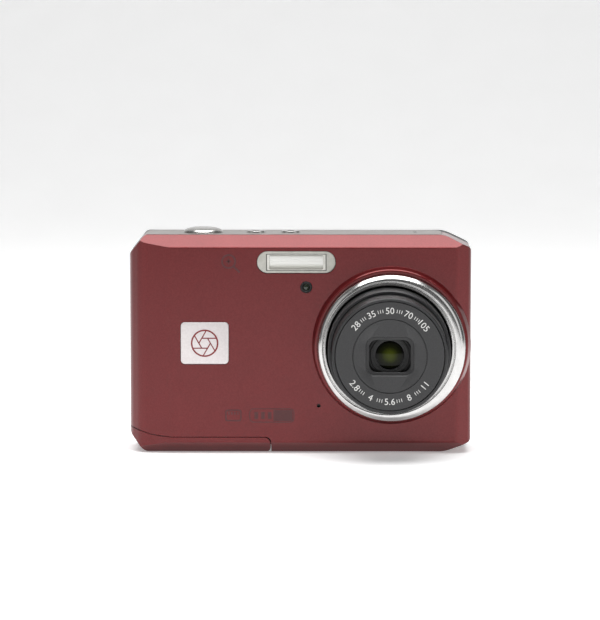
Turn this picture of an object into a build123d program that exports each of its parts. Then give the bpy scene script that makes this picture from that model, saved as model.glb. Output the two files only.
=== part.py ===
from build123d import *
import math
import os

os.makedirs("parts", exist_ok=True)

# Compact digital camera. Millimetres. The front faces -Y, +Z is up, and the lens stands towards +X.
# The origin is on the flat base, in the middle of the body.

# Body
bodyW = 92.3
bodyH = 59.1
bodyD = 22.0
wall = 1.2
halfW = bodyW / 2
frontY = -bodyD / 2
insideTop = bodyH - wall
rearY = bodyD / 2
splitY = 4.0
seamGap = 0.1

# Top plate
plateX0 = -42.1
plateX1 = 38.4
plateFrontY = -6.5
plateRearY = 9.2
plateT = 1.2

# Lens
lensX = 23.9
lensZ = 29.15
ringX = 24.6
ringR = 19.85
ringInnerR = 16.75
ringFrontY = -16.2
collarX = 24.6
collarZ = 29.5
collarR = 21.5
collarFrontY = -13.0
wellR = 19.75
lipR = 17.75
outerR = 16.4
outerLen = 14.5
outerTravel = 8.0
innerR = 15.4
innerLen = 14.2
innerTravel = 10.0
barrelWall = 0.8
parkedFrontY = -16.0
outerFrontY = parkedFrontY - outerTravel
innerFrontY = outerFrontY - innerTravel
housingR = 19.4
housingWall = 0.7
housingRearY = 4.0
camInnerR = 16.6
camOuterR = 17.35

# Gear train, full size teeth of one module
gearModule = 0.5
camTeeth = 72
idlerTeeth = 16
pinionTeeth = 8
idlerAngle = 215.0
gearY0 = 0.4
gearY1 = 2.2

# Lens barrier
bladePivotX = 12.6
bladePivotZ = -3.0
bladeSwing = 33.0
bladeT = 0.35
windowW = 12.7
windowH = 10.2

# Flash
flashX = -1.0
flashZ = 51.95
flashW = 21.1
flashH = 5.8

# Self timer lamp, microphone hole and badge
lampX = 1.7
lampZ = 45.2
lampR = 1.5
micX = 5.05
micZ = 13.05
badgeX = -25.7
badgeZ = 30.05
badgeW = 12.9
badgeH = 11.3

# Battery bay
cellR = 7.1
cellZ0 = 4.3
cellLen = 50.2
cellTop = cellZ0 + cellLen
cellY = -2.2
cellX = (-36.2, -21.4)
doorX1 = -8.0
doorZ = 4.35
doorGap = 0.2
pinX = -9.1
pinZ = 1.0
pinR = 0.5

# Memory card, standing behind the cells
cardX1 = -16.7
cardZ0 = 5.8
cardW = 24.0
cardH = 32.0

# Tripod socket
socketX = 12.0
socketY = -1.2
socketR = 2.6
socketDepth = 6.0

# Speaker under the top plate
speakerX = 31.2
speakerY = 1.6
topBoardZ = 55.3

# Rear panel
screenX = 13.5
screenZ = 30.5
screenW = 58.0
screenH = 45.0
panelX = -30.6
buttonTravel = 0.3
boardY = 8.3
boardT = 0.6


def save(name, shape):
    export_step(shape, "parts/" + name + ".step")


def box(x0, x1, y0, y1, z0, z1):
    return Pos((x0 + x1) / 2, (y0 + y1) / 2, (z0 + z1) / 2) * Box(x1 - x0, y1 - y0, z1 - z0)


def rodY(x, z, r, y0, y1):
    return Pos(x, (y0 + y1) / 2, z) * Rot(90, 0, 0) * Cylinder(r, y1 - y0)


def rodX(y, z, r, x0, x1):
    return Pos((x0 + x1) / 2, y, z) * Rot(0, 90, 0) * Cylinder(r, x1 - x0)


def rodZ(x, y, r, z0, z1):
    return Pos(x, y, (z0 + z1) / 2) * Cylinder(r, z1 - z0)


def coneY(x, z, rFront, rRear, y0, y1):
    # the local +Z end of a cone turned by +90 about X points to -Y
    return Pos(x, (y0 + y1) / 2, z) * Rot(90, 0, 0) * Cone(rRear, rFront, y1 - y0)


def ringY(x, z, r, bore, y0, y1):
    return rodY(x, z, r, y0, y1) - rodY(x, z, bore, y0 - 1, y1 + 1)


def slabY(outline, y0, y1):
    # a face drawn in X and Z, given its thickness along Y
    solid = extrude(Plane.XZ * outline, amount=y1 - y0)
    return Pos(0, y1, 0) * solid


def slabZ(outline, z0, z1):
    return Pos(0, 0, z0) * extrude(outline, amount=z1 - z0)


def roundedY(x, z, w, h, r, y0, y1):
    return slabY(Pos(x, z) * RectangleRounded(w, h, r), y0, y1)


def roundedZ(x, y, w, d, r, z0, z1):
    return slabZ(Pos(x, y) * RectangleRounded(w, d, r), z0, z1)


def roundedX(y, z, w, h, r, x0, x1):
    solid = extrude(Plane.YZ * (Pos(y, z) * RectangleRounded(w, h, r)), amount=x1 - x0)
    return Pos(x0, 0, 0) * solid


def drawn(points, radii, inset):
    face = make_face(FilletPolyline(*points, radius=radii, close=True))
    if inset > 0:
        face = offset(face, amount=-inset, kind=Kind.INTERSECTION)
    return face


# The body's three outlines. The grip side, at -X, has steep corner cuts, the lens side shallow ones.
def frontOutline(inset):
    points = [(-halfW, 5.2), (-42.0, 0), (39.0, 0), (halfW, 3.2),
              (halfW, bodyH - 3.4), (39.0, bodyH), (-42.0, bodyH), (-halfW, bodyH - 5.2)]
    return drawn(points, [2.2, 2.2, 8.0, 1.6, 1.6, 8.0, 2.2, 2.2], inset)


def planOutline(inset):
    points = [(-halfW, rearY), (-halfW, -5.4), (-43.0, -9.3), (-35.6, frontY),
              (42.4, frontY), (halfW, -8.4), (halfW, rearY)]
    return drawn(points, [3.5, 5.0, 5.0, 9.0, 2.4, 2.4, 3.0], inset)


def sideOutline(inset):
    points = [(frontY, 3.1), (-6.7, 0), (rearY, 0), (rearY, bodyH), (-6.7, bodyH), (frontY, bodyH - 3.1)]
    return drawn(points, [0.8, 0.8, 2.2, 1.6, 0.5, 0.5], inset)


def envelope(inset):
    front = extrude(Plane.XZ * frontOutline(inset), amount=40, both=True)
    plan = extrude(planOutline(inset), amount=140, both=True)
    side = extrude(Plane.YZ * sideOutline(inset), amount=140, both=True)
    return front & plan & side


outerBody = envelope(0)
innerBody = envelope(wall)


# Outlines shared by a piece and the opening that it fills
def topPlateForm(gap, z0, z1):
    w = plateX1 - plateX0 + 2 * gap
    d = plateRearY - plateFrontY + 2 * gap
    return roundedZ((plateX0 + plateX1) / 2, (plateFrontY + plateRearY) / 2, w, d, 4.5 + gap, z0, z1)


def doorForm(gap, y0, y1):
    # the door's edge is flat, rises at the grip side, and is round at its hinge end
    x1 = doorX1 + gap
    top = doorZ + gap
    points = [(-halfW - 2, -2), (x1, -2), (x1, top), (-34.8, top), (-40.2, top + 0.6),
              (-halfW, top + 2.4), (-halfW - 2, top + 3.3)]
    return slabY(drawn(points, [0, 0, 1.6, 8.0, 4.0, 2.0, 0], 0), y0, y1)


shutterX = -26.4
shutterY = 1.2
powerX = -12.1
modeX = -2.6
topButtons = {"shutter_button": (shutterX, 5.35), "power_button": (powerX, 2.5), "mode_button": (modeX, 2.5)}
rearButtons = {
    "play_button": (panelX - 6.6, 39.9, 2.7),
    "scene_button": (panelX + 6.6, 39.9, 2.7),
    "menu_button": (panelX - 6.6, 11.5, 2.7),
    "delete_button": (panelX + 6.6, 11.5, 2.7),
}
padZ = 25.7
padR = 9.6
setR = 3.9
rockerX = panelX - 3.2
rockerZ = 47.7
rockerW = 12.4
rockerH = 4.8
screwsBottom = [(30.0, -1.0), (36.0, 6.4)]
screwsSide = [(6.6, 30.0)]
usbY = 1.6
usbZ = 10.5
usbCoverW = 8.4
usbCoverH = 10.4
lugX = halfW - 1.05
lugY = 0.6
lugZ = 48.0


def boltHoles():
    holes = [rodZ(x, y, 1.35, -1, 0.9) + rodZ(x, y, 0.8, 0, 4.2) for x, y in screwsBottom]
    holes += [rodX(y, z, 1.35, halfW - 0.9, halfW + 1) + rodX(y, z, 0.8, halfW - 4.4, halfW) for y, z in screwsSide]
    return holes


def frontShell():
    collar = coneY(collarX, collarZ, collarR - 0.9, collarR, collarFrontY, -10.6)
    collar += rodY(collarX, collarZ, collarR, -10.6, -6.0)
    collar = fillet(collar.edges().filter_by(GeomType.CIRCLE).sort_by(Axis.Y)[0], 0.6)
    collar = collar & box(-halfW, halfW, -20, 0, 0, bodyH)
    shell = (outerBody + collar) - innerBody
    shell = shell & box(-60, 60, -30, splitY - seamGap / 2, -5, 70)
    shell -= rodY(lensX, lensZ, wellR, -9.8, 5)
    shell -= rodY(ringX, lensZ, ringR + 0.1, -20, -11.6)
    shell -= rodY(lensX, lensZ, lipR, -20, 0)
    shell -= roundedY(flashX, flashZ, flashW + 0.2, flashH + 0.2, flashH / 2, -12, -9)
    shell -= rodY(lampX, lampZ, lampR + 0.1, -12, -9)
    shell -= rodY(micX, micZ, 0.5, -12, -9)
    shell -= topPlateForm(seamGap, insideTop - 2.3, bodyH + 1)
    shell -= doorForm(doorGap, -12, 9)
    shell -= rodZ(socketX, socketY, 4.7, -1, 3)
    shell -= roundedX(usbY, usbZ, usbCoverW + 0.2, usbCoverH + 0.2, 1.3, 42, 47)
    shell -= box(41.3, 47, lugY - 3.2, splitY + 1, lugZ - 4.4, lugZ + 4.4)
    shell -= boltHoles()
    # a shallow bed for the badge
    shell -= roundedY(badgeX, badgeZ, badgeW + 0.2, badgeH + 0.2, 1.2, -12, frontY + 0.4)
    return shell


def rearShell():
    shell = outerBody - innerBody
    shell = shell & box(-60, 60, splitY + seamGap / 2, 20, -5, 70)
    shell -= topPlateForm(seamGap, insideTop - 2.3, bodyH + 1)
    shell -= doorForm(doorGap, 0, 9)
    shell -= roundedY(screenX, screenZ, screenW + 0.2, screenH + 0.2, 1.3, rearY - 0.9, 12)
    shell -= roundedY(screenX, screenZ, screenW - 3, screenH - 3, 0.8, 9, 12)
    for x, z, r in rearButtons.values():
        shell -= rodY(x, z, r + 0.12, 9, 12)
    shell -= rodY(panelX, padZ, padR + 0.3, 9, 12)
    shell -= roundedY(rockerX, rockerZ, rockerW + 0.6, rockerH + 0.5, 2.2, 9, 12)
    shell -= roundedX(usbY, usbZ, usbCoverW + 0.2, usbCoverH + 0.2, 1.3, 42, 47)
    shell -= boltHoles()
    return shell


def topPlate():
    plate = outerBody & topPlateForm(0, bodyH - plateT, bodyH + 1)
    for x, r in topButtons.values():
        plate -= rodZ(x, shutterY, r + 0.15, insideTop - 2, bodyH + 1)
    for i in range(3):
        plate -= rodZ(speakerX, speakerY + (i - 1) * 2.2, 0.5, insideTop - 2, bodyH + 1)
    return plate


def lensRing():
    # the outer band is turned round, the inner lip stands a little lower behind a fine groove
    ring = rodY(ringX, lensZ, ringR, ringFrontY, -11.8)
    ring = fillet(ring.edges().filter_by(GeomType.CIRCLE).sort_by(Axis.Y)[0], 1.7)
    ring -= rodY(lensX, lensZ, ringInnerR, -20, -10)
    ring -= rodY(lensX, lensZ, ringInnerR + 0.9, -20, ringFrontY + 0.55)
    ring -= ringY(lensX, lensZ, ringInnerR + 1.15, ringInnerR + 0.9, -20, ringFrontY + 0.8)
    return ring


def badge():
    plate = roundedY(badgeX, badgeZ, badgeW, badgeH, 1.1, frontY - 0.3, frontY + 0.35)
    return chamfer(plate.faces().sort_by(Axis.Y)[0].edges(), 0.2)


def flashUnit():
    window = roundedY(flashX, flashZ, flashW, flashH, flashH / 2 - 0.05, frontY - 0.25, frontY + 1.2)
    window = fillet(window.faces().sort_by(Axis.Y)[0].edges(), 0.3)
    reflector = roundedY(flashX, flashZ, 14.7, 4.6, 0.5, -9.7, -5.6)
    reflector -= loft([
        Plane.XZ.offset(9.8) * (Pos(flashX, flashZ) * Rectangle(13.9, 3.8)),
        Plane.XZ.offset(6.6) * (Pos(flashX, flashZ) * Rectangle(13.0, 2.2)),
    ])
    reflector -= rodX(-7.4, flashZ, 0.95, flashX - 9, flashX + 9)
    tube = rodX(-7.4, flashZ, 0.8, flashX - 8.4, flashX + 8.4)
    can = rodZ(-4.6, -3.6, 4.2, 21.5, 42.5)
    can -= rodZ(-4.6, -3.6, 2.6, 42.2, 43)
    return window, reflector, tube, can


def gear(teeth, bore, y0, y1):
    # trapezoid teeth, thinned for backlash, on their root circle
    pitch = gearModule * teeth / 2
    root = pitch - 1.2 * gearModule
    tip = pitch + 0.8 * gearModule
    step = 2 * math.pi / teeth
    rootHalf = step * 0.27
    tipHalf = step * 0.105
    points = []
    for i in range(teeth):
        middle = i * step
        for r, turn in ((root, -rootHalf), (tip, -tipHalf), (tip, tipHalf), (root, rootHalf)):
            points.append((r * math.cos(middle + turn), r * math.sin(middle + turn)))
    blank = make_face(Polyline(*points, close=True)) - Circle(bore)
    return slabY(blank, y0, y1)


def gearTrain():
    angle = math.radians(idlerAngle)
    camPitch = gearModule * camTeeth / 2
    idlerPitch = gearModule * idlerTeeth / 2
    pinionPitch = gearModule * pinionTeeth / 2
    idlerX = lensX + (camPitch + idlerPitch) * math.cos(angle)
    idlerZ = lensZ + (camPitch + idlerPitch) * math.sin(angle)
    pinionX = idlerX - idlerPitch - pinionPitch
    # teeth start on +X in each gear's own frame and are turned into mesh
    idlerPhase = idlerAngle + 180 + 180 / idlerTeeth
    camPhase = idlerAngle
    towards = 180 - idlerPhase
    idlerTurns = towards / (360 / idlerTeeth)
    pinionPhase = (0.5 - (-idlerTurns % 1)) * 360 / pinionTeeth
    cam = rodY(0, 0, camOuterR, -11.5, gearY0 + 0.1) + gear(camTeeth, 1, gearY0, gearY1)
    cam -= rodY(0, 0, camInnerR, -20, 10)
    for i in range(3):
        # helical slots, drawn as a row of overlapping bores
        for k in range(5):
            turn = i * 120 + k * 8
            slot = Rot(0, turn, 0) * rodX(-9.6 + k * 1.9, 0, 0.8, camInnerR - 2, camOuterR + 2)
            cam -= slot
    cam = Pos(lensX, 0, lensZ) * Rot(0, -camPhase, 0) * cam
    idler = Pos(idlerX, 0, idlerZ) * Rot(0, -idlerPhase, 0) * gear(idlerTeeth, 0.85, gearY0 + 0.1, gearY1 + 0.6)
    pinion = Pos(pinionX, 0, idlerZ) * Rot(0, -pinionPhase, 0) * gear(pinionTeeth, 0.55, gearY0 + 0.1, gearY1 + 0.4)
    motor = rodY(pinionX, idlerZ, 3.0, -7.6, -0.6) + rodY(pinionX, idlerZ, 1.1, -0.7, -0.1)
    motor += rodY(pinionX, idlerZ, 0.5, -0.2, gearY1 + 0.5)
    return cam, idler, pinion, motor, idlerX, idlerZ, pinionX


def lensHousing(idlerX, idlerZ, pinionX):
    tube = ringY(lensX, lensZ, housingR, housingR - housingWall, -9.6, housingRearY - 1)
    back = rodY(lensX, lensZ, housingR, housingRearY - 1, housingRearY)
    back += box(pinionX - 2, lensX, housingRearY - 1, housingRearY, idlerZ - 4.6, idlerZ + 6)
    back -= box(lensX - 4.3, lensX + 4.3, 0, 6, lensZ - 3.8, lensZ + 3.8)
    housing = tube + back
    housing -= rodY(idlerX, idlerZ, 4.9, -1, housingRearY - 1)
    housing += rodY(idlerX, idlerZ, 0.8, gearY0, housingRearY - 0.5)
    # rail that the focus lens slides on
    housing += rodY(lensX + 5.3, lensZ, 0.6, -1.6, housingRearY - 0.5)
    return housing


def barrelStage(r, length, frontAt):
    stage = ringY(lensX, lensZ, r, r - barrelWall, frontAt, frontAt + length)
    return chamfer(stage.edges().filter_by(GeomType.CIRCLE).sort_by(Axis.Y)[:2].sort_by(SortBy.RADIUS)[-1], 0.25)


def octagon(w, h, cut):
    points = [(-w / 2 + cut, -h / 2), (w / 2 - cut, -h / 2), (w / 2, -h / 2 + cut), (w / 2, h / 2 - cut),
              (w / 2 - cut, h / 2), (-w / 2 + cut, h / 2), (-w / 2, h / 2 - cut), (-w / 2, -h / 2 + cut)]
    return Pos(lensX, lensZ) * make_face(FilletPolyline(*points, radius=0.6, close=True))


def frontPlate():
    # the plate that closes the inner barrel, with a turned groove and a stepped window
    plate = rodY(lensX, lensZ, innerR - barrelWall - 0.05, innerFrontY + 0.15, innerFrontY + 0.88)
    plate -= ringY(lensX, lensZ, 9.95, 9.65, innerFrontY - 1, innerFrontY + 0.4)
    plate -= slabY(octagon(windowW, windowH, 1.9), innerFrontY - 1, innerFrontY + 0.5)
    plate -= slabY(octagon(windowW - 1.6, windowH - 1.4, 1.6), innerFrontY - 1, innerFrontY + 2)
    return plate


def barrierBlade():
    y0 = innerFrontY + 1.5
    coverW = 14.0
    points = [(-coverW / 2, 0.04), (coverW / 2, 0.04), (bladePivotX - 1.4, bladePivotZ - 0.6),
              (bladePivotX + 0.6, bladePivotZ - 1.3), (bladePivotX + 2, bladePivotZ), (bladePivotX + 1, 5.5),
              (3.0, 6.2), (-coverW / 2, 5.2)]
    flat = slabY(make_face(Polyline(*points, close=True)), y0, y0 + bladeT)
    reach = rodY(0, 0, innerR - barrelWall - 0.35, y0 - 1, y0 + 2)
    swing = Pos(bladePivotX, 0, bladePivotZ) * Rot(0, bladeSwing, 0) * Pos(-bladePivotX, 0, -bladePivotZ)
    back = Pos(bladePivotX, 0, bladePivotZ) * Rot(0, -bladeSwing, 0) * Pos(-bladePivotX, 0, -bladePivotZ)
    flat = flat & reach & (back * reach)
    flat -= rodY(bladePivotX, bladePivotZ, 0.45, y0 - 1, y0 + 2)
    upper = swing * flat
    lower = Rot(0, 180, 0) * upper
    return Pos(lensX, 0, lensZ) * upper, Pos(lensX, 0, lensZ) * lower


def frontGlass():
    # a curved front face in a black cell, behind the barrier
    y0 = innerFrontY + 2.3
    ball = Pos(lensX, y0 + 11.0, lensZ) * Sphere(11.0)
    glass = rodY(lensX, lensZ, 4.1, y0, y0 + 3.0) & ball
    cell = rodY(lensX, lensZ, innerR - barrelWall - 0.05, y0 + 0.7, y0 + 4.2)
    cell += coneY(lensX, lensZ, 5.0, 6.2, y0 + 0.1, y0 + 0.8)
    cell -= coneY(lensX, lensZ, 4.6, 4.15, y0 - 0.2, y0 + 0.8)
    cell -= rodY(lensX, lensZ, 4.15, y0 - 1, y0 + 3.05)
    cell -= rodY(lensX, lensZ, 3.4, y0, y0 + 6)
    for side in (1, -1):
        cell += rodY(lensX + side * bladePivotX, lensZ + side * bladePivotZ, 0.4, innerFrontY + 1.0, y0 + 1.2)
    return glass, cell


def opticsBehind():
    rear = innerFrontY + innerLen
    shutterUnit = rodY(lensX, lensZ, innerR - barrelWall - 0.05, rear - 4.5, rear - 1.0)
    shutterUnit -= rodY(lensX, lensZ, 3.0, rear - 6, rear)
    focus = rodY(lensX, lensZ, 6.6, -0.4, 1.8) - rodY(lensX, lensZ, 3.9, 0, 1.4)
    focus -= rodY(lensX, lensZ, 3.3, -1, 3)
    lens = rodY(lensX, lensZ, 3.9, 0, 1.4)
    focus += lens
    focus -= rodY(lensX + 5.3, lensZ, 0.65, -2, 3)
    sensor = box(lensX - 4.1, lensX + 4.1, 3.2, 4.55, lensZ - 3.6, lensZ + 3.6)
    plate = roundedY(lensX, lensZ, 25, 20, 2, 4.6, 5.1)
    return shutterUnit, focus, sensor, plate


def batteryBay():
    x0 = cellX[0] - cellR - 0.85
    x1 = cellX[1] + cellR + 0.85
    y0 = cellY - cellR - 0.15
    y1 = cellY + cellR + 0.85
    holder = box(x0, x1, y0 + 2.0, y1, 7.7, cellTop - 0.3)
    holder -= [rodZ(x, cellY, cellR + 0.15, 0, bodyH) for x in cellX]
    holder -= box(cellX[0], cellX[1], y0, cellY + 3, 0, bodyH)
    holder = holder & envelope(wall + 0.25)
    cells = []
    for i, x in enumerate(cellX):
        can = rodZ(x, cellY, cellR, cellZ0, cellZ0 + cellLen - 1.2)
        can = fillet(can.edges().filter_by(GeomType.CIRCLE), 0.6)
        can += rodZ(x, cellY, 2.7, cellZ0 + cellLen - 1.3, cellZ0 + cellLen)
        if i == 1:
            middle = cellZ0 + cellLen / 2
            can = Pos(x, cellY, middle) * Rot(180, 0, 0) * Pos(-x, -cellY, -middle) * can
        cells.append(can)
    contacts = []
    for x in cellX:
        contacts.append(box(x - 4, x + 4, cellY - 3, cellY + 3, cellTop + 0.15, cellTop + 0.45))
    return holder, cells, Compound(contacts)


def batteryDoor():
    outer = outerBody & doorForm(0, -12, 8.9)
    hollow = innerBody & box(-halfW, doorX1 - wall, -12, 8.9 - wall, 0, 12)
    door = outer - hollow
    # the bottom corner at the hinge end is rolled about the pin
    door -= box(pinX, 0, -12, 9, -1, pinZ) - rodY(pinX, pinZ, pinZ, -12, 9)
    knuckle = rodY(pinX, pinZ, pinZ, -6.0, -2.0) + rodY(pinX, pinZ, pinZ, 3.0, 7.0)
    door += knuckle
    door -= box(pinX - 1.3, doorX1 + 1, -1.9, 2.9, -1, doorZ + 1)
    door -= rodY(pinX, pinZ, pinR + 0.05, -7, 8)
    return door


def doorHinge():
    pin = rodY(pinX, pinZ, pinR, -6.4, 7.4)
    carrier = rodY(pinX, pinZ, pinZ, -1.7, 2.7) - rodY(pinX, pinZ, pinR, -3, 4)
    carrier += box(pinX, -2.0, -1.7, 2.7, pinZ + 0.35, pinZ + 1.0) - rodY(pinX, pinZ, pinR, -3, 4)
    return pin, carrier


def doorStrip():
    strip = box(cellX[0] - 5, cellX[1] + 5, cellY - 3, cellY + 3, 1.75, 2.05)
    for x in cellX:
        strip += Pos(x, cellY, 2.0) * Cone(3.2, 1.2, 1.5, align=(Align.CENTER, Align.CENTER, Align.MIN))
    return strip


def memoryCard():
    points = [(-cardW, 0), (0, 0), (0, cardH), (4 - cardW, cardH), (-cardW, cardH - 4)]
    face = Pos(cardX1, cardZ0) * make_face(Polyline(*points, close=True))
    card = slabY(face, 6.0, 7.9)
    slot = box(cardX1 - cardW - 1.2, cardX1 + 1.2, 5.85, 8.05, cardZ0 + 13, cardZ0 + cardH + 1)
    slot -= box(cardX1 - cardW - 0.2, cardX1 + 0.2, 5.9, 8.0, 0, cardZ0 + cardH + 0.2)
    return card, slot


def topButton(x, r, z1, crown):
    low = bodyH - plateT
    cap = rodZ(x, shutterY, r, low, z1)
    cap = fillet(cap.edges().filter_by(GeomType.CIRCLE).sort_by(Axis.Z)[-1], crown)
    flange = rodZ(x, shutterY, r + 0.5, low - 0.4, low - 0.02) + rodZ(x, shutterY, 1.2, low - 0.9, low)
    return cap + flange


def rearButton(x, z, r):
    cap = rodY(x, z, r, 9.4, rearY + 0.7)
    cap = fillet(cap.edges().filter_by(GeomType.CIRCLE).sort_by(Axis.Y)[-1], 0.35)
    cap += rodY(x, z, r + 0.5, 9.4, 9.75)
    return cap - rodY(x, z, 1.7, 9, 9.9)


def controls():
    pad = ringY(panelX, padZ, padR, setR + 0.25, 9.9, rearY + 0.9)
    pad = chamfer(pad.edges().filter_by(GeomType.CIRCLE).sort_by(Axis.Y)[-2:], 0.4)
    centre = rodY(panelX, padZ, setR, 9.4, rearY + 0.6)
    centre = fillet(centre.edges().filter_by(GeomType.CIRCLE).sort_by(Axis.Y)[-1], 0.4)
    centre -= rodY(panelX, padZ, 1.7, 9, 9.9)
    rocker = roundedY(rockerX, rockerZ, rockerW, rockerH, 1.9, 9.9, rearY + 0.9)
    rocker = fillet(rocker.faces().sort_by(Axis.Y)[-1].edges(), 0.4)
    return pad, centre, rocker


def domeSwitches():
    places = [(x, z) for x, z, r in rearButtons.values()]
    places += [(panelX, padZ), (rockerX - 4, rockerZ), (rockerX + 4, rockerZ)]
    places += [(panelX + 6.8 * math.cos(a), padZ + 6.8 * math.sin(a)) for a in (0, math.pi / 2, math.pi, 3 * math.pi / 2)]
    domes = [rodY(x, z, 1.5, boardY + boardT, boardY + boardT + 0.5) for x, z in places]
    top = [rodZ(x, shutterY, 1.5, topBoardZ + 0.5, topBoardZ + 1.0) for x, r in topButtons.values()]
    return Compound(domes + top)


def usbSet():
    mouth = halfW - 1.45
    port = box(mouth - 7.6, mouth, usbY - 2.0, usbY + 2.0, usbZ - 3.9, usbZ + 3.9)
    port -= box(mouth - 6.8, mouth + 1, usbY - 1.6, usbY + 1.6, usbZ - 3.4, usbZ + 3.4)
    port += box(mouth - 7.0, mouth - 1.2, usbY - 0.4, usbY + 0.4, usbZ - 2.6, usbZ + 2.6)
    cover = roundedX(usbY, usbZ, usbCoverW, usbCoverH, 1.2, halfW - 1.1, halfW)
    cover = fillet(cover.faces().sort_by(Axis.X)[-1].edges(), 0.3)
    return port, cover


def strapLug():
    # a bar across a pocket in the side, for the strap's loop
    bar = rodZ(lugX, lugY, 0.75, lugZ - 4.3, lugZ + 4.3)
    plate = box(41.4, 41.9, lugY - 3.1, lugY + 3.1, lugZ - 4.3, lugZ + 4.3)
    ends = [box(41.4, lugX + 0.7, lugY - 1.2, lugY + 1.2, z, z + 0.6) for z in (lugZ - 4.3, lugZ + 3.7)]
    return bar + plate + ends


def tripodSocket():
    socket = rodZ(socketX, socketY, 4.5, 0.02, 1.4) + rodZ(socketX, socketY, 3.9, 1.3, socketDepth + 0.8)
    socket += rodZ(socketX, socketY, 5.2, 1.5, 2.3)
    socket -= rodZ(socketX, socketY, socketR, -1, socketDepth)
    return socket


def chassis():
    # a pressed plate between the cells and the lens, with a foot round the tripod socket
    post = box(-12.6, -12.0, -8.6, 4.4, 4.7, 50)
    shelf = box(-12.6, -6.0, -5.0, 4.4, 4.7, 5.3)
    step = box(-6.6, -6.0, -5.0, 5.9, 2.6, 5.3)
    base = box(-6.6, 34.0, -5.0, 5.9, 2.6, 3.2) - rodZ(socketX, socketY, 4.1, 0, 10)
    flange = box(-6.6, 34.0, 5.3, 5.9, 2.6, 8.0)
    return post + shelf + step + base + flange


def screws():
    items = []
    for x, y in screwsBottom:
        items.append(rodZ(x, y, 1.2, 0.1, 0.85) + rodZ(x, y, 0.6, 0.8, 2.5) - Pos(x, y, 0.1) * crossSlot())
    for y, z in screwsSide:
        head = rodX(y, z, 1.2, halfW - 0.85, halfW - 0.1) + rodX(y, z, 0.6, halfW - 3.4, halfW - 0.8)
        items.append(head - Pos(halfW - 0.1, y, z) * Rot(0, 90, 0) * crossSlot())
    return Compound(items)


def crossSlot():
    return Box(1.5, 0.35, 0.7) + Box(0.35, 1.5, 0.7)


def screenSet():
    window = roundedY(screenX, screenZ, screenW, screenH, 1.2, rearY - 0.85, rearY + 0.15)
    module = box(screenX - 28.4, screenX + 28.4, 6.6, 9.1, screenZ - 21.6, screenZ + 21.6)
    return window, module


def boards():
    main = box(-11.4, 41.4, 5.35, 6.15, 8.6, 50.4)
    main += box(-4, 6, 5.0, 5.4, 30, 40)
    rear = box(-43.0, -16.6, boardY, boardY + boardT, 8, 50.5)
    top = box(-33.5, 1.5, -0.8, 3.2, topBoardZ, topBoardZ + 0.5)
    return main, rear, top


save("front_shell", frontShell())
save("rear_shell", rearShell())
save("top_plate", topPlate())
save("lens_trim_ring", lensRing())
save("badge", badge())

flashParts = flashUnit()
for name, shape in zip(("flash_window", "flash_reflector", "flash_tube", "flash_capacitor"), flashParts):
    save(name, shape)

camRing, idlerGear, motorPinion, zoomMotor, idlerX, idlerZ, pinionX = gearTrain()
save("cam_ring", camRing)
save("idler_gear", idlerGear)
save("motor_pinion", motorPinion)
save("zoom_motor", zoomMotor - rodY(pinionX, idlerZ, 0.55, gearY0 + 0.05, 5))
save("lens_housing", lensHousing(idlerX, idlerZ, pinionX))

save("outer_barrel", barrelStage(outerR, outerLen, outerFrontY))
save("inner_barrel", barrelStage(innerR, innerLen, innerFrontY))
save("barrel_front_plate", frontPlate())
bladeUpper, bladeLower = barrierBlade()
save("barrier_blade_upper", bladeUpper)
save("barrier_blade_lower", bladeLower)
frontElement, frontCell = frontGlass()
save("front_element", frontElement)
save("front_lens_cell", frontCell)
for name, shape in zip(("shutter_unit", "focus_lens", "image_sensor", "sensor_plate"), opticsBehind()):
    save(name, shape)

save("self_timer_lamp", rodY(lampX, lampZ, lampR, frontY - 0.1, frontY + 2.2))
save("microphone", rodY(micX, micZ, 2.0, -9.7, -8.4))
save("speaker", rodZ(speakerX, speakerY, 4.6, insideTop - 3.7, insideTop - 1.3))

holder, cells, contacts = batteryBay()
save("battery_box", holder)
save("battery_1", cells[0])
save("battery_2", cells[1])
save("battery_contacts", contacts)
save("battery_door", batteryDoor())
hingePin, hingeCarrier = doorHinge()
save("door_hinge_pin", hingePin)
save("door_hinge_carrier", hingeCarrier)
save("door_contact_strip", doorStrip())
card, slot = memoryCard()
save("memory_card", card)
save("card_slot", slot)

save("shutter_button", topButton(shutterX, 5.35, bodyH + 1.5, 0.9))
save("power_button", topButton(powerX, 2.5, bodyH + 0.5, 0.3))
save("mode_button", topButton(modeX, 2.5, bodyH + 0.5, 0.3))
for name, (x, z, r) in rearButtons.items():
    save(name, rearButton(x, z, r))
pad, centre, rocker = controls()
save("four_way_pad", pad)
save("set_button", centre)
save("zoom_rocker", rocker)
save("dome_switches", domeSwitches())

port, cover = usbSet()
save("usb_port", port)
save("usb_cover", cover)
save("strap_lug", strapLug())
save("tripod_socket", tripodSocket())
save("chassis", chassis())
save("screws", screws())
window, module = screenSet()
save("screen_window", window)
save("screen_module", module)
mainBoard, rearBoard, topBoard = boards()
save("main_board", mainBoard)
save("rear_button_board", rearBoard)
save("top_button_board", topBoard)
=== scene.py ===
import math

import bmesh
import bpy
from mathutils import Matrix, Vector


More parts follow.
